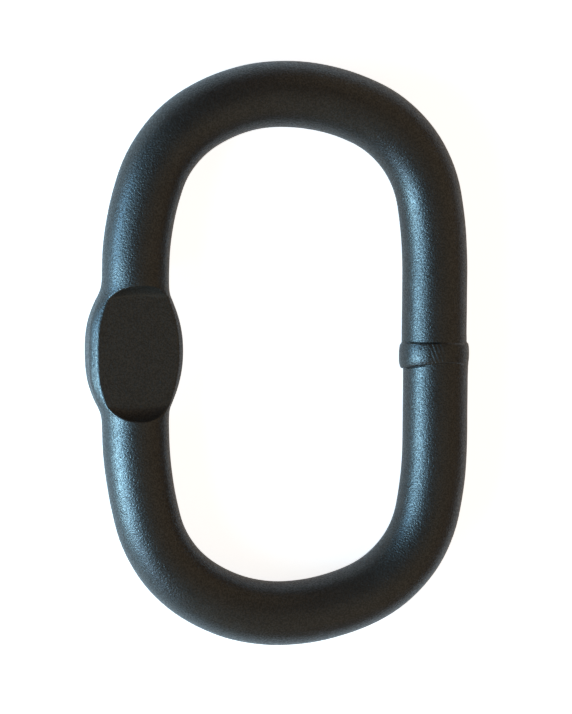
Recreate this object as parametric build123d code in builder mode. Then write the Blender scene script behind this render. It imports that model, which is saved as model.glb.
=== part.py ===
from build123d import *

import os
from math import cos, radians, sin, sqrt

# An oblong lifting ring: one steel bar bent to a loop, butt-welded in one leg and pressed flat in
# the other. It lies on its face: X runs across the legs, Y along them and Z up through the loop.
# Lengths are in millimetres and turns in degrees.

# The bar and the free room inside the loop
bar_diameter = 16.0
inside_length = 113.4
inside_width = 60.6

# Where the two bows peak, measured from the middle between the legs
crown_peak_x = -1.1
foot_peak_x = -0.25

# Each corner is a bow arc, a shoulder arc and a flank arc. The bow's radius and the turns of bow
# and flank are chosen; the other two radii follow from the room that the corner has.
crown_right_bow_radius = 49.5
crown_right_bow_turn = 25.3
crown_right_flank_turn = 9.6
crown_left_bow_radius = 41.0
crown_left_bow_turn = 30.4
crown_left_flank_turn = 19.0
foot_left_bow_radius = 39.7
foot_left_bow_turn = 35.6
foot_left_flank_turn = 15.0
foot_right_bow_radius = 52.4
foot_right_bow_turn = 22.3
foot_right_flank_turn = 11.4

# The right leg is straight this far to each side of its middle
leg_y = -1.45
leg_straight = 21.0

# The butt weld in it: the bar's two ends meet a little out of line inside an upset collar
weld_y = -0.5
weld_metal = 1.0
weld_mismatch = 0.25
collar_length = 6.2
collar_proud = 0.65
collar_crown = 0.25
collar_bevel = 0.3

# The pressed pad in the left leg: two flats between sides that bulge
pad_y = 2.6
pad_width = 24.1
pad_thickness = 9.2
pad_side_radius = 31.7
pad_root_radius = 12.0
pad_run_in = 0.3
shoulder_angle = 45.0

# The dies that press the flats: each stands a little towards the foot, and its ends are round
die_offset = -0.45
flat_length = 28.0
ramp_radius = 7.0
ramp_start_angle = 35.0
ramp_foot_radius = 1.0
rim_bevel = 0.35

# Sizes that follow
bar_radius = bar_diameter / 2
leg_reach = (inside_width + bar_diameter) / 2
peak_y = (inside_length + bar_diameter) / 2
collar_radius = bar_radius + collar_proud
half_pad = pad_width / 2
half_flat = flat_length / 2
half_thickness = pad_thickness / 2

# The origin is under the middle of the outermost sizes, so the loop shifts to make its reach equal
centre_shift = (half_pad - collar_radius) / 2
right_x = leg_reach + centre_shift
left_x = centre_shift - leg_reach
crown_x = crown_peak_x + centre_shift
foot_x = foot_peak_x + centre_shift
loop_z = collar_radius

# The pad's sides bow out on a large arc, which runs into the leg through a hollow root arc
root_gap = pad_side_radius + pad_root_radius
root_end_y = sqrt(root_gap**2 - (root_gap + bar_radius - half_pad) ** 2)
root_start_y = root_end_y * pad_side_radius / root_gap
pad_reach = root_end_y + pad_run_in

# The bar's round top and bottom end in shoulder lines, and its round sides lie between these
shoulder_x = bar_radius * cos(radians(shoulder_angle))
shoulder_z = bar_radius * sin(radians(shoulder_angle))


def corner(half_width, height, bow_radius, bow_turn, flank_turn):
    """Radius and turn of a corner's three tangent arcs, from the bow's peak to the leg.

    The three turns add up to a right angle. The shoulder's and flank's radii solve two equations:
    the arcs together cover the corner's half width across the loop and its height along it.
    """
    bow_end = radians(bow_turn)
    flank_start = radians(90 - flank_turn)
    across = half_width - bow_radius * sin(bow_end)
    along = height - bow_radius * (1 - cos(bow_end))
    shoulder_across = sin(flank_start) - sin(bow_end)
    shoulder_along = cos(bow_end) - cos(flank_start)
    flank_across = 1 - sin(flank_start)
    flank_along = cos(flank_start)
    scale = shoulder_across * flank_along - shoulder_along * flank_across
    shoulder_radius = (across * flank_along - along * flank_across) / scale
    flank_radius = (along * shoulder_across - across * shoulder_along) / scale
    shoulder_turn = 90 - bow_turn - flank_turn
    return [(bow_radius, bow_turn), (shoulder_radius, shoulder_turn), (flank_radius, flank_turn)]


def pad_half_width(y):
    """Half width of the pad at mid thickness, a distance y along the leg from its middle."""
    if abs(y) < root_start_y:
        return half_pad - pad_side_radius + sqrt(pad_side_radius**2 - y**2)
    if abs(y) < root_end_y:
        return bar_radius + pad_root_radius - sqrt(pad_root_radius**2 - (root_end_y - abs(y)) ** 2)
    return bar_radius


crown_right = corner(
    right_x - crown_x,
    peak_y - leg_y - leg_straight,
    crown_right_bow_radius,
    crown_right_bow_turn,
    crown_right_flank_turn,
)
crown_left = corner(
    crown_x - left_x,
    peak_y - pad_y - pad_reach,
    crown_left_bow_radius,
    crown_left_bow_turn,
    crown_left_flank_turn,
)
foot_left = corner(
    foot_x - left_x,
    peak_y + pad_y - pad_reach,
    foot_left_bow_radius,
    foot_left_bow_turn,
    foot_left_flank_turn,
)
foot_right = corner(
    right_x + weld_mismatch - foot_x,
    peak_y + leg_y - leg_straight,
    foot_right_bow_radius,
    foot_right_bow_turn,
    foot_right_flank_turn,
)

loop_plane = Plane.XY.offset(loop_z)

# The bar's round section starts at the loop's inner side, so its seam runs there
inwards = (-1, 0, 0)

# The bar's upper run: up the right leg from the weld, round the crown and down to the pad
with BuildPart() as crown_run:
    with BuildLine(loop_plane) as crown_path:
        run = Line((right_x, weld_y + weld_metal / 2), (right_x, leg_y + leg_straight))
        for radius, turn in crown_right[::-1] + crown_left:
            run = JernArc(run @ 1, run % 1, radius, turn)
    crown_line = crown_path.wire()
    with BuildSketch(Plane(origin=crown_line @ 0, x_dir=inwards, z_dir=crown_line % 0)):
        Circle(bar_radius)
    sweep(path=crown_line)

# Its lower run: down the right leg from the weld, round the foot and up to the pad
with BuildPart() as foot_run:
    with BuildLine(loop_plane) as foot_path:
        foot_right_x = right_x + weld_mismatch
        run = Line((foot_right_x, weld_y - weld_metal / 2), (foot_right_x, leg_y - leg_straight))
        for radius, turn in foot_right[::-1] + foot_left:
            run = JernArc(run @ 1, run % 1, radius, -turn)
    foot_line = foot_path.wire()
    with BuildSketch(Plane(origin=foot_line @ 0, x_dir=inwards, z_dir=foot_line % 0)):
        Circle(bar_radius)
    sweep(path=foot_line)

# The collar that the weld pushes up, turned about the right leg: a crowned band with bevelled edges
with BuildPart() as weld_collar:
    with BuildSketch(Plane((right_x, weld_y, loop_z))) as collar_half:
        with BuildLine():
            edge_radius = collar_radius - collar_crown
            top = (edge_radius, collar_length / 2)
            bottom = (edge_radius, -collar_length / 2)
            ThreePointArc(top, (collar_radius, 0), bottom)
            Polyline(bottom, (0, -collar_length / 2), (0, collar_length / 2), top)
        make_face()
        chamfer(collar_half.vertices().group_by(Axis.X)[-1], collar_bevel)
    revolve(axis=Axis((right_x, weld_y, loop_z), (0, 1, 0)))

# The bar where it is pressed, before the dies flatten it: sections from round to bulged and back.
# A bulge moves the two sides apart and stretches the arcs over top and bottom between them. A moved
# side is a curve that leaves its shoulder lines in the round bar's direction, and its middle lies at
# three quarters of its control points' reach.
bulge_steps = 4
reach_share = 3 / 4
half_stations = [root_start_y * step / bulge_steps for step in range(bulge_steps + 1)]
half_stations += [(root_start_y + root_end_y) / 2, root_end_y, pad_reach]
reach = (bar_radius - shoulder_x) / reach_share
drop = reach * shoulder_x / shoulder_z
with BuildPart() as pad:
    for y in [-y for y in half_stations[:0:-1]] + half_stations:
        side = pad_half_width(y)
        shoulder = shoulder_x + side - bar_radius
        across_leg = Plane(origin=(left_x, pad_y + y, loop_z), x_dir=(1, 0, 0), z_dir=(0, 1, 0))
        with BuildSketch(across_leg):
            with BuildLine():
                for way in (1, -1):
                    start = (way * shoulder, way * shoulder_z)
                    end = (way * shoulder, -way * shoulder_z)
                    ThreePointArc((-way * shoulder, way * shoulder_z), (0, way * bar_radius), start)
                    if side > bar_radius:
                        first = (way * (shoulder + reach), way * (shoulder_z - drop))
                        second = (way * (shoulder + reach), way * (drop - shoulder_z))
                        Bezier(start, first, second, end)
                    else:
                        ThreePointArc(start, (way * side, 0), end)
            make_face()
    loft()

# Each flat is pressed by a die, drawn here along the leg and away from the loop's middle plane. Its
# face lies on the flat. Its ends are arcs that meet the face at the ramps' start angle, steepen to
# upright and go on as straight sides, and a small fillet rolls the face into them. The rim that the
# die leaves is bevelled all round.
ramp_start = radians(ramp_start_angle)
ramp_middle = (ramp_start + radians(90)) / 2
ramp_centre_y = half_flat - ramp_radius * sin(ramp_start)
ramp_centre_height = half_thickness + ramp_radius * cos(ramp_start)
ramp_end_y = ramp_centre_y + ramp_radius
ramp_middle_y = ramp_centre_y + ramp_radius * sin(ramp_middle)
ramp_middle_height = ramp_centre_height - ramp_radius * cos(ramp_middle)
die_top = ramp_centre_height + bar_radius

with BuildPart() as lifting_ring:
    add(crown_run.part)
    add(foot_run.part)
    add(weld_collar.part)
    add(pad.part)
    for press_side in (1, -1):
        die_plane = Plane((left_x, pad_y + die_offset, loop_z), x_dir=(0, 1, 0), z_dir=(press_side, 0, 0))
        with BuildSketch(die_plane) as die:
            with BuildLine():
                for way in (1, -1):
                    foot = (way * half_flat, half_thickness)
                    middle = (way * ramp_middle_y, ramp_middle_height)
                    ThreePointArc(foot, middle, (way * ramp_end_y, ramp_centre_height))
                    Line((way * ramp_end_y, ramp_centre_height), (way * ramp_end_y, die_top))
                Line((-half_flat, half_thickness), (half_flat, half_thickness))
                Line((-ramp_end_y, die_top), (ramp_end_y, die_top))
            make_face()
            fillet(die.vertices().group_by(Axis.Y)[0], ramp_foot_radius)
        extrude(amount=pad_width, both=True, mode=Mode.SUBTRACT)
        chamfer(edges(Select.LAST).filter_by(Axis.X, reverse=True), rim_bevel)

lifting_ring.part.label = "lifting_ring"
os.makedirs("parts", exist_ok=True)
export_step(lifting_ring.part, "parts/lifting_ring.step")
print("volume in cubic mm:", round(lifting_ring.part.volume))
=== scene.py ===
# %% [markdown]
# # An oblong lifting ring
# A lifting ring is a steel bar that has been bent to a loop, butt-welded in one leg and pressed flat
# in the other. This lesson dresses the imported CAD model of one: it works out a fine skin for the
# bar, gives it a satin brown-black coat, and lights it as a plain studio would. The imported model
# comes first, because every piece lies in its frame: X runs across the legs, Y along them and Z up
# through the loop. The skin is worked out in millimetres and turned into metres at the end.

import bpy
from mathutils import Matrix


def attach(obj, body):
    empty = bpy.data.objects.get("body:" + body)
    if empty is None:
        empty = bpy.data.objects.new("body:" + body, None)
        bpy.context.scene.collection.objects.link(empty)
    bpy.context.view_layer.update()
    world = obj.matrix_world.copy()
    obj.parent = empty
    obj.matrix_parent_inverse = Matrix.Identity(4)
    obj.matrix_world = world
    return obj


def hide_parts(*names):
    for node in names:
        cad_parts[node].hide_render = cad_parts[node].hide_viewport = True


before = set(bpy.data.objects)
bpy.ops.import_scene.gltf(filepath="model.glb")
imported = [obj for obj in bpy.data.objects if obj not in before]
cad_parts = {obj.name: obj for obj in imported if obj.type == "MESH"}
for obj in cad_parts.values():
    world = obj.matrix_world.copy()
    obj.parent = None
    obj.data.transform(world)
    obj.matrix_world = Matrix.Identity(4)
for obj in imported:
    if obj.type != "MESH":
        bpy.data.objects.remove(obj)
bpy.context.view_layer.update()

import math

import bpy
import numpy as np

MM = 0.001

# %% [markdown]
# ## The loop's centre line
# The real bar is bent round formers, so its centre line is made of straights and arcs, each tangent
# to the next. Each corner of this ring is three arcs: a wide bow, a tight shoulder and a long flank.
# A spline through a few points could stand in for it, but its curvature would drift, and the room
# inside the loop is what the ring is for. So the arcs are solved as the CAD model solves them.

# %% Sizes of the bar and the loop, in millimetres
BAR_RADIUS = 8.0
LOOP_HEIGHT = 8.65
RIGHT_LEG_X = 40.0
LEFT_LEG_X = -36.6
CROWN_X = 0.6
FOOT_X = 1.45
PEAK_Y = 64.7
RIGHT_LEG_Y = -1.45
LEG_STRAIGHT = 21.0
WELD_Y = -0.5
WELD_MISMATCH = 0.25
PAD_Y = 2.6
PAD_REACH = 18.67
# Each corner's bow radius, then the turns of its bow and its flank in degrees
CROWN_RIGHT = (49.5, 25.3, 9.6)
CROWN_LEFT = (41.0, 30.4, 19.0)
FOOT_LEFT = (39.7, 35.6, 15.0)
FOOT_RIGHT = (52.4, 22.3, 11.4)
print("the bar is", 2 * BAR_RADIUS, "mm thick, and its legs are", RIGHT_LEG_X - LEFT_LEG_X, "mm apart")


# %% Solve the four corners
def corner(half_width, height, bow_radius, bow_turn, flank_turn):
    """Radius and turn of a corner's bow, shoulder and flank.

    The turns add up to a right angle. Shoulder and flank radii solve two linear equations: together
    with the bow they cover the corner's half width across the loop and its height along it.
    """
    turn_ends = np.radians([bow_turn, 90 - flank_turn, 90])
    across = np.diff(np.sin(turn_ends))
    along = -np.diff(np.cos(turn_ends))
    bow_across = bow_radius * math.sin(turn_ends[0])
    bow_along = bow_radius * (1 - math.cos(turn_ends[0]))
    room = [half_width - bow_across, height - bow_along]
    shoulder_radius, flank_radius = np.linalg.solve([across, along], room)
    shoulder_turn = 90 - bow_turn - flank_turn
    return [(bow_radius, bow_turn), (shoulder_radius, shoulder_turn), (flank_radius, flank_turn)]


crown_right = corner(RIGHT_LEG_X - CROWN_X, PEAK_Y - RIGHT_LEG_Y - LEG_STRAIGHT, *CROWN_RIGHT)
crown_left = corner(CROWN_X - LEFT_LEG_X, PEAK_Y - PAD_Y - PAD_REACH, *CROWN_LEFT)
foot_left = corner(FOOT_X - LEFT_LEG_X, PEAK_Y + PAD_Y - PAD_REACH, *FOOT_LEFT)
foot_right_width = RIGHT_LEG_X + WELD_MISMATCH - FOOT_X
foot_right = corner(foot_right_width, PEAK_Y + RIGHT_LEG_Y - LEG_STRAIGHT, *FOOT_RIGHT)
crown_arcs = crown_right[::-1] + crown_left
foot_arcs = foot_left[::-1] + foot_right
for radius, turn in crown_arcs + foot_arcs:
    print(f"arc of radius {radius:6.2f} mm through {turn:4.1f} degrees")

# %% Chain the straights and arcs from the weld, up the right leg and round
above_weld = RIGHT_LEG_Y + LEG_STRAIGHT - WELD_Y
below_weld = WELD_Y - RIGHT_LEG_Y + LEG_STRAIGHT
runs = [(above_weld, 0.0)]
runs += [(radius * math.radians(turn), math.radians(turn)) for radius, turn in crown_arcs]
pad_run = len(runs)
runs += [(2 * PAD_REACH, 0.0)]
runs += [(radius * math.radians(turn), math.radians(turn)) for radius, turn in foot_arcs]
runs += [(below_weld, 0.0)]
run_lengths, run_turns = np.array(runs).T
run_starts = np.concatenate([[0], np.cumsum(run_lengths)])
run_headings = math.pi / 2 + np.concatenate([[0], np.cumsum(run_turns)[:-1]])


def chord(length, turn, heading):
    """The straight step from an arc's start to its end.

    It points half way through the turn, and it is shorter than the arc by the sine of half the turn
    over half the turn. A straight is an arc that turns by nothing.
    """
    reach = length * np.sinc(turn / 2 / math.pi)
    middle = heading + turn / 2
    return np.stack([reach * np.cos(middle), reach * np.sin(middle)], -1)


run_steps = np.cumsum(chord(run_lengths, run_turns, run_headings), 0)
run_points = np.array([RIGHT_LEG_X, WELD_Y]) + np.concatenate([[[0, 0]], run_steps])
loop_length = run_starts[-1]
pad_station = run_starts[pad_run] + PAD_REACH
out_of_line = run_points[-1, 0] - RIGHT_LEG_X
print(f"the bar is {loop_length:.1f} mm long, and its ends meet {out_of_line:.2f} mm out of line")


def centre_line(station):
    """Point and outward normal of the centre line, a distance station along the bar from the weld."""
    run = np.clip(np.searchsorted(run_starts, station, "right") - 1, 0, len(run_lengths) - 1)
    gone = station - run_starts[run]
    turned = run_turns[run] * gone / run_lengths[run]
    points = run_points[run] + chord(gone, turned, run_headings[run])
    heading = run_headings[run] + turned
    return points, np.stack([np.sin(heading), -np.cos(heading)], -1)


# %% [markdown]
# ## The pressed pad
# Two dies squeeze the hot bar in the left leg. What stands above a die's face is pressed down to it,
# and the steel has to go somewhere, so the sides bulge and stand up as walls. Each die's ends are
# round: they leave its face at a slant and steepen, and press a small step into the bar. A boolean
# cut would do for the flat, but its edges come out razor sharp. Here a smooth minimum of the bulged
# bar and the die gives the rolled rim that hot steel has.


# %% Fades and rolled edges
def smooth_step(value):
    """Rises from 0 to 1 as value does, and leaves both ends level.

    It is three times the value's square, less twice its cube.
    """
    value = np.clip(value, 0, 1)
    return value * value * (3 - 2 * value)


def fade_in(distance, start, length):
    """A smooth step from 0 at the start to 1 a length further on."""
    return smooth_step((distance - start) / length)


def fade_out(distance, end, length):
    """A smooth step from 1 a length before the end to 0 at the end."""
    return smooth_step((end - distance) / length)


def facing(angle, middle, edge, width):
    """Which share of a patch round the bar an angle is in: 0 outside it and 1 well inside.

    The cosine of the angle from the patch's middle is edge where the patch begins, and larger than
    that by width where it is full. The middle is in degrees.
    """
    return fade_in(np.cos(angle - math.radians(middle)), edge, width)


def smooth_minimum(first, second, roll):
    """The smaller of the two, less a parabola where they differ by less than roll.

    The parabola is the square of what the difference lacks to roll, over four times roll. It rolls
    over the edge between the two.
    """
    overlap = np.maximum(roll - np.abs(first - second), 0)
    return np.minimum(first, second) - overlap**2 / (4 * roll)


def circle_height(radius, offset):
    """Height of a circle above its centre line at a sideways offset, and nothing beyond its radius."""
    return np.sqrt(np.maximum(radius**2 - offset**2, 0))


print("a fade is", smooth_step(0.25), "a quarter of the way along and", smooth_step(0.5), "half way")

# %% The pad's outline
PAD_HALF_WIDTH = 12.05
SIDE_RADIUS = 31.7
ROOT_RADIUS = 12.0
ROOT_GAP = SIDE_RADIUS + ROOT_RADIUS
ROOT_END = math.sqrt(ROOT_GAP**2 - (ROOT_GAP + BAR_RADIUS - PAD_HALF_WIDTH) ** 2)
ROOT_START = ROOT_END * SIDE_RADIUS / ROOT_GAP
# The bulge's middle lies a little towards the foot, and it is fuller on the outer side
BULGE_OFFSET = -0.65
OUTER_EXTRA = 0.4
INNER_EXTRA = -0.5
LEG_FULLNESS = 0.2
SIDE_ROLL = 0.5
LIMIT_ROLL = 0.8
# A fade along the leg: where it ends and how long it is
EXTRA_FADE = (22, 12)
FULLNESS_FADE = (42, 22)
BULGE_FADE = (50, 10)


def bulge(y, extra):
    """How far a side stands out from the round bar: a large arc, a hollow root arc, then the bar.

    Extra moves the large arc out, or in where it is negative, but no further out than the pad's half
    width. The squeezed leg stays a little too full above and below the pad, and that fades out
    towards the bows. Smooth minima join the three.
    """
    y = y - BULGE_OFFSET
    side_arc = PAD_HALF_WIDTH - BAR_RADIUS - SIDE_RADIUS + circle_height(SIDE_RADIUS, y)
    root_arc = ROOT_RADIUS - circle_height(ROOT_RADIUS, ROOT_END - np.abs(y))
    arcs = np.select([np.abs(y) < ROOT_START, np.abs(y) < ROOT_END], [side_arc, root_arc], 0)
    spread = extra * fade_out(np.abs(y), *EXTRA_FADE)
    fullness = LEG_FULLNESS * fade_out(np.abs(y), *FULLNESS_FADE)
    fuller = -smooth_minimum(-arcs - spread, -fullness, SIDE_ROLL)
    limited = smooth_minimum(fuller, PAD_HALF_WIDTH - BAR_RADIUS, LIMIT_ROLL)
    return limited * fade_out(np.abs(y), *BULGE_FADE)


print(f"the pad's sides end {ROOT_END:.2f} mm from its middle")

# %% The die
DIE_OFFSET = -0.45
HALF_FLAT = 14.0
HALF_THICKNESS = 4.6
DIE_CROWN = 0.014
RAMP_RADIUS = 7.0
RAMP_START = math.radians(35)
RAMP_FOOT_ROLL = 0.25


def die_height(x, y):
    """Height of the die over the bar's middle plane: its flat face, then an arc at each end.

    The arc leaves the face at the ramps' start angle and steepens. Seen from above the die's ends are
    crowned: beside the middle they stand back by the die's crown times the sideways reach squared.
    """
    past_centre = np.abs(y - DIE_OFFSET) + DIE_CROWN * x**2 - HALF_FLAT + RAMP_RADIUS * math.sin(RAMP_START)
    centre_height = HALF_THICKNESS + RAMP_RADIUS * math.cos(RAMP_START)
    ramp = centre_height - circle_height(RAMP_RADIUS, np.clip(past_centre, 0, RAMP_RADIUS))
    return -smooth_minimum(-ramp, -HALF_THICKNESS, RAMP_FOOT_ROLL)


print("the dies' faces are", 2 * HALF_FLAT, "mm long and stop", 2 * HALF_THICKNESS, "mm apart")

# %% The walls at the pad's sides
SHOULDER = BAR_RADIUS * math.sqrt(0.5)
WALL_HEIGHT = 2.4
WALL_LEAN = 0.74
WALL_ROLL = 0.8
WALL_FADE = 0.8


def squarer(z, wall_height):
    """How far the pad's side stands out from the round bar's curve at a height z.

    Squeezed steel stands up as a wall, and above it leans back where the die drags it along. So this
    is what the round bar lacks to its full reach, less the lean times the height above the wall.
    """
    above_wall = -smooth_minimum(wall_height - z, 0, WALL_ROLL)
    lacking = BAR_RADIUS - circle_height(BAR_RADIUS, np.minimum(z, SHOULDER))
    return (lacking - WALL_LEAN * above_wall) * fade_out(z, SHOULDER, WALL_FADE)


wall_gain = squarer(WALL_HEIGHT, WALL_HEIGHT)
print(f"at its top the wall stands {wall_gain:.2f} mm out from the round bar's curve")

# %% The bulged bar, before it is pressed
def bulged_quarter(quarter, stretch):
    """Sideways and upward reach of a quarter of the bar, from its side up to its top.

    Below the shoulder the side is a cubic curve, the round bar's own, moved outwards by the stretch.
    Its control points stand out from the shoulder by four thirds of the rise, which is the bar's
    radius less the shoulder. Above the shoulder an arc stretches over the top. Its radius is the sum
    of the shoulder's reach squared and the rise squared, over twice the rise.
    """
    shoulder = SHOULDER + stretch
    rise = BAR_RADIUS - SHOULDER
    reach = rise * 4 / 3
    t = 0.5 - quarter / (math.pi / 2)
    side_x = shoulder + 3 * reach * t * (1 - t)
    side_z = SHOULDER * ((1 - t) ** 3 - t**3) + 3 * (SHOULDER - reach) * t * (1 - t) * (1 - 2 * t)
    top_radius = (shoulder**2 + rise**2) / (2 * rise)
    lean = (2 - quarter / (math.pi / 4)) * np.arcsin(shoulder / top_radius)
    top_x = top_radius * np.sin(lean)
    top_z = BAR_RADIUS - top_radius * (1 - np.cos(lean))
    on_side = quarter < math.pi / 4
    return np.where(on_side, side_x, top_x), np.where(on_side, side_z, top_z)


round_off = np.hypot(*bulged_quarter(np.linspace(0, math.pi / 2, 91), 0.0)) - BAR_RADIUS
print(f"with no stretch the quarter is round to {np.abs(round_off).max():.3f} mm")

# %% The pressed section
RIM_ROLL = 0.45
OUTER_ROLL = 0.2
OUTER_ROLL_FADE = (14, 5)
# A patch round the bar: its middle in degrees, its edge's cosine and how much larger that grows
OUTER_SIDE = (0, 0.3, 0.3)
# The wall is higher by this on the lower half of the outer side, around the bulge's middle
LOW_WALL = 1.5
LOW_WALL_FADE = (10, 9)
FULL_WALL_STRETCH = 3.6


def bar_section(angle, y):
    """Sideways and upward reach of the bar's section at an angle round it, a distance y from the pad.

    The angle is nought on the loop's outer side and a quarter turn on the face that looks up. It is
    folded into the first quarter, and the signs are put back at the end. The bulge moves the sides
    out, a wall grows with the bulge, and what stands above the die is pressed down to it. The rim
    is rolled over further on the outer side, and the wall is higher on the outer side's lower half.
    """
    outer = np.cos(angle) > 0
    quarter = np.arcsin(np.clip(np.abs(np.sin(angle)), 0, 1))
    stretch = np.where(outer, bulge(y, OUTER_EXTRA), bulge(y, INNER_EXTRA))
    x, z = bulged_quarter(quarter, stretch)
    lower_outer = outer & (np.sin(angle) < 0)
    low_wall = LOW_WALL * lower_outer * fade_out(np.abs(y - BULGE_OFFSET), *LOW_WALL_FADE)
    x = x + squarer(z, WALL_HEIGHT + low_wall) * smooth_step(stretch / FULL_WALL_STRETCH)
    roll = RIM_ROLL + OUTER_ROLL * facing(angle, *OUTER_SIDE) * fade_out(np.abs(y), *OUTER_ROLL_FADE)
    z = smooth_minimum(z, die_height(x, y), roll)
    return np.copysign(x, np.cos(angle)), np.copysign(z, np.sin(angle))


pad_side, _ = bar_section(np.array([0.0]), np.array([BULGE_OFFSET]))
print(f"the pad reaches {pad_side[0]:.2f} mm from the leg's middle on its outer side")

# %% [markdown]
# ## The weld's collar
# A butt weld presses the bar's two red-hot ends together, and some steel is pushed out in a ring.
# The ring is then trimmed to a low barrel. A few fine strokes of the trimming tool stay on it, and
# on the inner side, where its lips folded over the bar, so does a fine black lap at each edge. The
# collar is not a separate band, so it is a swelling of the same skin: a barrel profile between two
# edges that slant and wander a little, with a narrow groove where a lap is open.

# %% The collar's two edges
COLLAR_HALF_LENGTH = 3.1
TOP_SLANT = 0.6
TOP_WANDER = 0.06
FOOT_SHIFT = 0.1
FOOT_SLANT = 1.35
FOOT_WANDER = 0.25
FOOT_LIMIT = 0.75
FOOT_LIMIT_ROLL = 0.4


def collar_edges(angle):
    """Places of the collar's top and foot edges along the leg from the weld.

    The edges slant with the sine of the angle, because the bar's ends were cut a little out of
    square, and wander with a quicker wave. The foot edge goes no further than its limit.
    """
    sine = np.sin(angle)
    top_edge = COLLAR_HALF_LENGTH + TOP_SLANT * sine + TOP_WANDER * np.sin(5 * angle + 1)
    foot_edge = -FOOT_SHIFT - COLLAR_HALF_LENGTH + FOOT_SLANT * sine - FOOT_WANDER * np.cos(2 * angle)
    return top_edge, -smooth_minimum(-foot_edge, COLLAR_HALF_LENGTH + FOOT_LIMIT, FOOT_LIMIT_ROLL)


face_top, face_foot = collar_edges(math.pi / 2)
print(f"on the face that looks up the collar is {face_top - face_foot:.2f} mm long")

# %% The collar's swelling over the bar
COLLAR_PROUD = 0.64
COLLAR_LIP = 0.26
COLLAR_RADIUS = BAR_RADIUS + COLLAR_PROUD
BARREL_POWER = 2.4
# The length within which each lip rises, and how much shorter that is where the lip is folded over
TOP_RISE = 0.75
TOP_SHORTER = 0.55
TOP_FOLD = (138, 0.35, 0.45)
FOOT_RISE = 0.4
FOOT_SHORTER = 0.2
FOOT_FOLD = (165, 0.3, 0.5)
STROKE_PITCH = 1.0
STROKE_DEPTH = 0.055
STROKE_SLANT = 0.4
TRIMMED = (104, 0.972, 0.02)
LAP_WIDTH = 0.15
LAP_DEPTH = 0.34
TOP_LAP = (131, 0.80, 0.12)
FOOT_LAP = (147, 0.87, 0.1)


def collar_swell(angle, y):
    """Height of the collar above the bar, a distance y along the leg from the weld.

    Between its edges the collar is a barrel: a power curve from its lips up to its middle. A lip
    rises in a smooth step at each edge, steeply on the inner side, where it folded over the bar, and
    softly where the trimming tool dragged it down. The strokes are a slanting sine wave cut into the
    barrel. A lap is a groove along an edge: an exponential of minus the squared distance from it.
    """
    top_edge, foot_edge = collar_edges(angle)
    from_top = top_edge - y
    from_foot = y - foot_edge
    along = (2 * y - top_edge - foot_edge) / (top_edge - foot_edge)
    barrel = COLLAR_LIP + (COLLAR_PROUD - COLLAR_LIP) * (1 - np.clip(np.abs(along), 0, 1) ** BARREL_POWER)
    strokes = np.sin(2 * math.pi * (COLLAR_RADIUS * angle - STROKE_SLANT * y) / STROKE_PITCH)
    barrel = barrel - STROKE_DEPTH * facing(angle, *TRIMMED) * (1 - strokes)
    top_rise = TOP_RISE - TOP_SHORTER * facing(angle, *TOP_FOLD)
    foot_rise = FOOT_RISE - FOOT_SHORTER * facing(angle, *FOOT_FOLD)
    top_lap = facing(angle, *TOP_LAP) * np.exp(-((from_top / LAP_WIDTH) ** 2))
    foot_lap = facing(angle, *FOOT_LAP) * np.exp(-((from_foot / LAP_WIDTH) ** 2))
    lipped = barrel * smooth_step(from_top / top_rise) * smooth_step(from_foot / foot_rise)
    return lipped - LAP_DEPTH * (top_lap + foot_lap)


collar_middle = collar_swell(np.array([0.0]), np.array([0.0]))[0]
print(f"the collar stands {collar_middle:.2f} mm over the bar on its outer side")

# %% [markdown]
# ## Laying out the skin
# The skin is one grid: rows across the bar and columns along it. A plain leg needs few rows, but
# the collar's lips and the die's ramps need many, so the rows' spacing follows a wanted step that
# is fine at each feature and grows away from it. Adding up one over the step gives each row's place.

# %% Place the rows
COLUMNS = 232
WIDEST_STEP = 1.7
STEP_GROWTH = 0.2
FINE_SAMPLES = 40001
RAMP_MIDDLE = 15.4
# Each feature's middle station, its half length and the step that it asks for
FEATURES = [
    # The collar, on both sides of the weld, then its top edge and its slanting foot edge
    (0.0, 3.2, 0.3),
    (loop_length, 3.2, 0.3),
    (COLLAR_HALF_LENGTH + 0.3, 0.5, 0.06),
    (loop_length - 2.75, 1.3, 0.06),
    # The pad, then the ramps at its two ends
    (pad_station, 15.0, 0.55),
    (pad_station - RAMP_MIDDLE, 1.6, 0.11),
    (pad_station + RAMP_MIDDLE, 1.6, 0.11),
]


def row_stations():
    """Stations of the rows. The wanted step is the smallest that any feature asks for."""
    fine = np.linspace(0, loop_length, FINE_SAMPLES)
    middles, halves, steps = np.array(FEATURES).T
    away = np.maximum(np.abs(fine[:, None] - middles) - halves, 0)
    wanted = np.minimum((steps + STEP_GROWTH * away).min(1), WIDEST_STEP)
    count = np.concatenate([[0], np.cumsum(np.diff(fine) * 2 / (wanted[1:] + wanted[:-1]))])
    rows = int(count[-1])
    return np.interp(np.arange(rows) * count[-1] / rows, count, fine)


stations = row_stations()
print(len(stations), "rows and", COLUMNS, "columns")

# %% How far the forged bar is off round
WAVE_HEIGHT = 0.012
# Each wave's turns along the loop, its turns round the bar and its start
WAVES = [(13, 2, 0.4), (21, -1, 2.1), (34, 3, 0.0)]
INNER_CALM = 0.6


def forged_waviness(station, angle):
    """Long waves of a few hundredths of a millimetre: the sum of sines, less its greatest height.

    So they only take steel away, and the skin stays inside the CAD box. They are calmer on the
    loop's inner side.
    """
    turn = 2 * math.pi * station / loop_length
    waves = sum(np.sin(along * turn + around * angle + start) for along, around, start in WAVES)
    inner = 0.5 - 0.5 * np.cos(angle)
    return WAVE_HEIGHT * (waves - len(WAVES)) * (1 - INNER_CALM * inner)


print(f"the waves are at most {2 * WAVE_HEIGHT * len(WAVES):.3f} mm deep")

# %% Work out every point of the skin
WAVINESS_START = (3.6, 2)
# A collar this high takes its place from the upper bar end alone
FULL_COLLAR = 0.5
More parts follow.
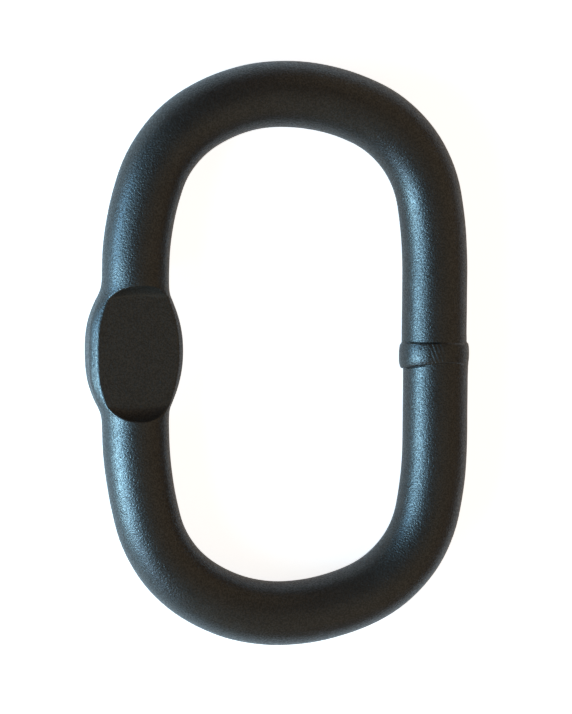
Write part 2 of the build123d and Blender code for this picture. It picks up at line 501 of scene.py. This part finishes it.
# Below the weld the right leg stands a little further out, and it comes back in the bend
LOWER_LEG_SHIFT = 0.2
SHIFT_START = (0.5, 2.5)
SHIFT_END = (60, 30)
# The right leg and the bends at its ends are a little fuller on the inner side
INNER_FULLNESS = 0.34
INNER_POWER = 1.5
FULLNESS_MIDDLE = 25
FULLNESS_END = (78, 22)


def skin_points():
    """The skin as a grid of points: centre line plus the section's reach across and up.

    The swelling adds the collar, the waviness and the fuller inner side along the section's radius.
    The bar's lower end lies a mismatch further out than its upper one, and the collar's lower half is
    moved back by that, because it is one band.
    """
    angle = np.linspace(0, 2 * math.pi, COLUMNS, endpoint=False)[None, :]
    station = stations[:, None]
    centre, outward = centre_line(stations)
    across, up = bar_section(angle, pad_station - station)
    from_weld = np.where(station > loop_length / 2, station - loop_length, station)
    collar = collar_swell(angle, from_weld)
    waviness = forged_waviness(station, angle) * fade_in(np.abs(from_weld), *WAVINESS_START)
    inner = np.clip(-np.cos(angle), 0, 1) ** INNER_POWER
    fuller = INNER_FULLNESS * inner * fade_out(np.abs(from_weld - FULLNESS_MIDDLE), *FULLNESS_END)
    swell = collar + waviness + fuller
    collar_share = np.clip(collar / FULL_COLLAR, 0, 1)
    shift = LOWER_LEG_SHIFT * fade_in(-from_weld, *SHIFT_START) * fade_out(-from_weld, *SHIFT_END)
    beside = np.where(from_weld < 0, shift * (1 - collar_share) - WELD_MISMATCH * collar_share, 0)
    across = across + swell * np.cos(angle) + beside
    up = up + swell * np.sin(angle)
    points = np.empty(across.shape + (3,))
    points[..., :2] = centre[:, None, :] + outward[:, None, :] * across[..., None]
    points[..., 2] = LOOP_HEIGHT + up
    return points * MM


points = skin_points()
print("skin box:", points.min((0, 1)), points.max((0, 1)))


# %% Turn the grid into a mesh
def closed_grid_mesh(name, points):
    """A mesh of four-sided faces on a grid that closes both ways, with its faces pointing outwards."""
    rows, columns = points.shape[:2]
    index = np.arange(rows * columns).reshape(rows, columns)
    next_row = np.roll(index, -1, 0)
    next_column, opposite = np.roll(index, -1, 1), np.roll(next_row, -1, 1)
    corners = np.stack([index, next_row, opposite, next_column], -1).reshape(-1, 4)
    mesh = bpy.data.meshes.new(name)
    mesh.vertices.add(rows * columns)
    mesh.vertices.foreach_set("co", points.reshape(-1))
    mesh.loops.add(corners.size)
    mesh.loops.foreach_set("vertex_index", corners.reshape(-1))
    mesh.polygons.add(len(corners))
    mesh.polygons.foreach_set("loop_start", np.arange(0, corners.size, 4))
    mesh.polygons.foreach_set("use_smooth", np.ones(len(corners), bool))
    mesh.update(calc_edges=True)
    mesh.validate()
    return mesh


skin = bpy.data.objects.new("ring_skin", closed_grid_mesh("ring_skin", points))
bpy.context.scene.collection.objects.link(skin)
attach(skin, "root")
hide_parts("lifting_ring")
print(len(skin.data.polygons) * 2, "triangles")

# %% [markdown]
# ## The coat
# The ring has a thin satin brown-black coat over forged steel. From close by it shows a fine grain,
# like orange peel, that breaks a highlight into sparks. The grain is far finer than any mesh, so it
# is left to the material: one noise drives its bump and its roughness together, and a second one
# makes the clear top layer stronger in spots, which are the sparks. A painted picture would stretch
# over the bends, so both noises read Object coordinates, where the grain is alike on every side.

# %% The coat's values and its material
COAT_IOR = 1.5
COAT_DARK = (0.012, 0.0095, 0.0072)
COAT_PALE = (0.016, 0.0125, 0.0095)
GRAIN_HEIGHT = 0.15 * MM
TOP_LAYER_ROUGHNESS = 0.36
# Each noise's waves per metre, detail and roughness
MOTTLE = (220, 3, 0.55)
GRAIN = (2300, 1, 0.5)
SPARKS = (2400, 1, 0.6)
coat = bpy.data.materials.new("satin_brown_black_coat")
coat.use_nodes = True
nodes, links = coat.node_tree.nodes, coat.node_tree.links
shader = nodes["Principled BSDF"]
shader.inputs["IOR"].default_value = COAT_IOR
place = nodes.new("ShaderNodeTexCoord")
print("started the material", coat.name)


# %% Wire the coat
def noise(scale, detail, roughness):
    """A noise texture on Object coordinates; its scale is in waves per metre."""
    node = nodes.new("ShaderNodeTexNoise")
    node.inputs["Scale"].default_value = scale
    node.inputs["Detail"].default_value = detail
    node.inputs["Roughness"].default_value = roughness
    links.new(place.outputs["Object"], node.inputs["Vector"])
    return node.outputs["Fac"]


def ramp(value, *stops):
    """A colour ramp over value between two stops, each a position and a colour."""
    node = nodes.new("ShaderNodeValToRGB")
    for element, (position, colour) in zip(node.color_ramp.elements, stops):
        element.position = position
        element.color = (*colour, 1)
    links.new(value, node.inputs["Fac"])
    return node.outputs["Color"]


def grey(level):
    """A grey, which an input for a single number reads as its level."""
    return (level, level, level)


# The positions and colours between which each noise is ramped
COLOUR_STOPS = ((0.35, COAT_DARK), (0.65, COAT_PALE))
ROUGHNESS_STOPS = ((0.35, grey(0.30)), (0.65, grey(0.48)))
SPARK_STOPS = ((0.4, grey(0.1)), (0.62, grey(0.8)))
links.new(ramp(noise(*MOTTLE), *COLOUR_STOPS), shader.inputs["Base Color"])
grain = noise(*GRAIN)
links.new(ramp(grain, *ROUGHNESS_STOPS), shader.inputs["Roughness"])
bump = nodes.new("ShaderNodeBump")
bump.inputs["Strength"].default_value = 1.0
bump.inputs["Distance"].default_value = GRAIN_HEIGHT
links.new(grain, bump.inputs["Height"])
links.new(bump.outputs["Normal"], shader.inputs["Normal"])
links.new(ramp(noise(*SPARKS), *SPARK_STOPS), shader.inputs["Coat Weight"])
shader.inputs["Coat Roughness"].default_value = TOP_LAYER_ROUGHNESS
skin.data.materials.append(coat)
print("the coat has", len(nodes), "nodes")

# %% [markdown]
# ## Camera
# The photograph was taken a little from the left and a little from the crown's side. A short lens
# from close by would show the near leg clearly larger than the far one, and the photograph doesn't.
# So the camera stands about five lengths of the ring away, and its long lens fills the picture.

# %% Place the camera
TURN = math.radians(15)
TILT = math.radians(6.5)
ROLL = math.radians(0.3)
DISTANCE = 0.769
AIM = np.array([1.455, -0.325, 8.65]) * MM
# The focal length in pixels of a picture this high, on a sensor in millimetres
FOCAL_PIXELS = 3108
PICTURE_HEIGHT = 714
SENSOR = 36
back = np.array([-math.sin(TURN) * math.cos(TILT), math.sin(TILT), math.cos(TURN) * math.cos(TILT)])
level = np.array([math.cos(TURN), 0, math.sin(TURN)])
rising = np.cross(back, level)
right = level * math.cos(ROLL) + rising * math.sin(ROLL)
up = np.cross(back, right)


def placed(own_x, own_y, own_z, place):
    """The matrix of an object with these axes and this place. Cameras and lamps look along minus z."""
    matrix = np.eye(4)
    matrix[:3] = np.stack([own_x, own_y, own_z, place], -1)
    return matrix.T.tolist()


camera_data = bpy.data.cameras.new("camera")
camera_data.sensor_width = SENSOR
camera_data.lens = SENSOR * FOCAL_PIXELS / PICTURE_HEIGHT
camera_data.clip_start = 0.01
camera_data.clip_end = 20
camera = bpy.data.objects.new("camera", camera_data)
camera.matrix_world = placed(right, up, back, AIM + back * DISTANCE)
bpy.context.scene.collection.objects.link(camera)
bpy.context.scene.camera = camera
print(f"the camera's focal length is {camera_data.lens:.1f} mm")

# %% [markdown]
# ## Floor
# The ring lies on white paper that the photograph shows as plain white. A bright lamp over it could
# bring it to white, but it would wash out the steel, so the paper glows to the camera instead.
# Steel that mirrored all of that glow would get pale rims, so mirrored rays see a quarter of it, and
# so would rays through glass.

# %% Lay the floor
FLOOR_HALF = 1.5
PAPER_COLOUR = (0.9, 0.9, 0.9, 1)
PAPER_ROUGHNESS = 0.9
PAPER_GLOW = (0.86, 0.86, 0.86, 1)
MIRRORED_SHARE = 0.25
floor_mesh = bpy.data.meshes.new("floor")
floor_signs = [(-1, -1), (1, -1), (1, 1), (-1, 1)]
floor_corners = [(x * FLOOR_HALF, y * FLOOR_HALF, 0) for x, y in floor_signs]
floor_mesh.from_pydata(floor_corners, [], [(0, 1, 2, 3)])
floor = bpy.data.objects.new("floor", floor_mesh)
bpy.context.scene.collection.objects.link(floor)
print("the floor is", 2 * FLOOR_HALF, "m wide")

# %% Make the paper
paper = bpy.data.materials.new("white_paper")
paper.use_nodes = True
nodes, links = paper.node_tree.nodes, paper.node_tree.links
matt = nodes["Principled BSDF"]
matt.inputs["Base Color"].default_value = PAPER_COLOUR
matt.inputs["Roughness"].default_value = PAPER_ROUGHNESS
matt.inputs["Specular IOR Level"].default_value = 0.0
rays = nodes.new("ShaderNodeLightPath")
mirrored = nodes.new("ShaderNodeMath")
mirrored.operation = "ADD"
links.new(rays.outputs["Is Glossy Ray"], mirrored.inputs[0])
links.new(rays.outputs["Is Transmission Ray"], mirrored.inputs[1])
seen = nodes.new("ShaderNodeMath")
seen.operation = "MULTIPLY_ADD"
links.new(mirrored.outputs["Value"], seen.inputs[0])
seen.inputs[1].default_value = MIRRORED_SHARE
links.new(rays.outputs["Is Camera Ray"], seen.inputs[2])
links.new(seen.outputs["Value"], matt.inputs["Emission Strength"])
matt.inputs["Emission Color"].default_value = PAPER_GLOW
floor.data.materials.append(paper)
print("mirrored rays see", MIRRORED_SHARE, "of the paper's glow")

# %% [markdown]
# ## Light
# The steel is dark and satin, so what shows its form is what it mirrors. A cool window stands low on
# the left and gives the steel-blue sheen along each leg. One lamp would give the sheen one plain
# slope from bright to dark, so the window is five panes, each with its own place, tint and power.
# Five wide warm cards, from overhead, the right and the foot's side, fill in the coat's brown.


# %% Make and hang the lamps
def soft_box(name, lean, turned, distance, width, height, colour, power):
    """A lamp with a rectangular face that looks at the origin from a distance in metres.

    Its direction leans this many degrees away from the camera's, towards a side that is turned
    anticlockwise from the picture's right.
    """
    lean, turned = math.radians(lean), math.radians(turned)
    sideways = math.cos(turned) * right + math.sin(turned) * up
    direction = math.sin(lean) * sideways + math.cos(lean) * back
    side = np.cross(up, direction)
    side = side / np.linalg.norm(side)
    lamp = bpy.data.lights.new(name, "AREA")
    lamp.shape = "RECTANGLE"
    lamp.size, lamp.size_y = width, height
    lamp.color = colour
    lamp.energy = power
    box = bpy.data.objects.new(name, lamp)
    box.matrix_world = placed(side, np.cross(direction, side), direction, direction * distance)
    bpy.context.scene.collection.objects.link(box)


SKY = (0.35, 0.7, 1.0)
PALE_SKY = (0.6, 0.97, 1.0)
LOW_SKY = (0.48, 0.72, 1.0)
DEEP_SKY = (0.28, 0.64, 1.0)
WARM = (1.0, 0.85, 0.58)
# Name, lean, turn, distance, width, height, colour and power in watts
LAMPS = [
    ("window_sill", 74, 200, 0.5, 0.36, 0.09, PALE_SKY, 1.9),
    ("window_middle", 65, 204, 0.5, 0.34, 0.09, SKY, 2.95),
    ("window_top", 44, 203, 0.6, 0.30, 0.20, SKY, 1.0),
    ("window_lower_side", 64, 228, 0.6, 0.20, 0.20, LOW_SKY, 0.8),
    ("window_upper_side", 66, 176, 0.6, 0.20, 0.20, DEEP_SKY, 2.2),
    ("card_overhead", 28, 330, 1.0, 0.7, 0.7, WARM, 0.38),
    ("card_right", 66, 5, 1.0, 0.8, 0.7, WARM, 0.75),
    ("card_upper_right", 66, 50, 1.0, 0.7, 0.7, WARM, 0.55),
    ("card_lower_right", 66, 315, 1.0, 0.8, 0.7, WARM, 0.62),
    ("card_below", 66, 270, 1.0, 0.7, 0.7, WARM, 0.51),
]
for lamp_values in LAMPS:
    soft_box(*lamp_values)
print(len(LAMPS), "lamps")

# %% [markdown]
# ## Surroundings
# A studio's walls give a dim brown light from everywhere. The camera sees white instead, so that a
# low view past the floor's edge has the photograph's white ground too. A mix node chooses between
# them by the kind of ray.

# %% Light the surroundings
WALLS = (0.09, 0.055, 0.04, 1)
WHITE = (1, 1, 1, 1)
# The mix node's colour sockets go by number, because other sockets share their names
MIX_A, MIX_B, MIX_RESULT = 6, 7, 2
world = bpy.data.worlds.new("studio")
world.use_nodes = True
nodes, links = world.node_tree.nodes, world.node_tree.links
surroundings = nodes.new("ShaderNodeMix")
surroundings.data_type = "RGBA"
rays = nodes.new("ShaderNodeLightPath")
links.new(rays.outputs["Is Camera Ray"], surroundings.inputs["Factor"])
surroundings.inputs[MIX_A].default_value = WALLS
surroundings.inputs[MIX_B].default_value = WHITE
links.new(surroundings.outputs[MIX_RESULT], nodes["Background"].inputs["Color"])
bpy.context.scene.world = world
bpy.context.scene.view_settings.view_transform = "Standard"
print("surroundings:", WALLS)
